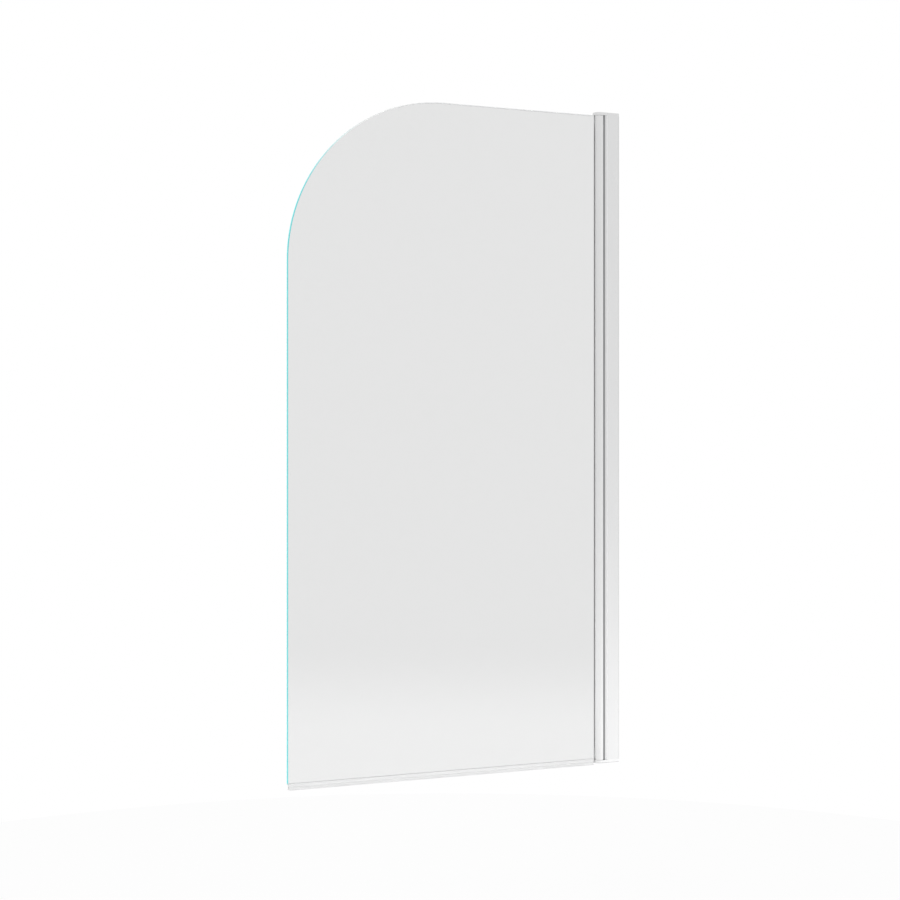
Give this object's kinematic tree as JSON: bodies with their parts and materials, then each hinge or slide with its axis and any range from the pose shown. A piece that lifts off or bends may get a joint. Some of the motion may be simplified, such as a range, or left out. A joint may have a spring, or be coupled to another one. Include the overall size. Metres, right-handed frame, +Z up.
{
  "type": "pivoting bath screen",
  "caption": "Frameless glass bath screen with a rounded upper corner, turning on a slim hinge profile that slides in a wall channel, with a clear drip seal along its lower edge.",
  "frame": {"origin": "centre of the middle wall-fixing hole, on the wall face of the channel, halfway up the profile", "axes": "+X into the wall that carries the screen, -Y towards the side shown in the picture, +Z up; the glass reaches out along -X"},
  "size_m": [0.75, 0.0296, 1.4036],
  "materials": {
    "safety_glass": "clear toughened glass with a polished, faintly green edge",
    "bright_aluminium": "bright polished and anodised extrusion",
    "chromed_cap": "bright chrome-plated moulding",
    "stainless_steel": "turned stainless steel",
    "white_nylon": "moulded bearing plastic",
    "dark_rubber": "dark extruded gasket",
    "grey_rubber": "grey flexible seal",
    "clear_strip": "clear flexible extrusion"
  },
  "bodies": {
    "wall_side": {"wall_channel": "bright_aluminium", "wall_cap_top": "chromed_cap", "wall_cap_bottom": "chromed_cap"},
    "post_side": {"hinge_post": "bright_aluminium", "hinge_cap_top": "chromed_cap", "hinge_cap_bottom": "chromed_cap", "pivot_pin_top": "stainless_steel", "pivot_pin_bottom": "stainless_steel", "cap_screws_top": "stainless_steel", "cap_screws_bottom": "stainless_steel", "cove_seal_front": "grey_rubber", "cove_seal_rear": "grey_rubber", "adjusting_screws": "stainless_steel", "adjusting_cups": "white_nylon", "screw_covers": "chromed_cap"},
    "screen": {"pivot_tube": "bright_aluminium", "pivot_plug_top": "white_nylon", "pivot_plug_bottom": "white_nylon", "thrust_washer_top": "white_nylon", "thrust_washer_bottom": "white_nylon", "glazing_gasket": "dark_rubber", "glass_panel": "safety_glass", "bottom_seal": "clear_strip"}
  },
  "joints": [
    {"name": "width_adjustment", "type": "slide", "parent": "wall_side", "child": "post_side", "axis": [-1, 0, 0], "range_m": [0, 0.015]},
    {"name": "screen_pivot", "type": "hinge", "parent": "post_side", "child": "screen", "pos_m": [-0.0435, 0, 0], "axis": [0, 0, 1], "range_deg": [-90, 90]}
  ]
}
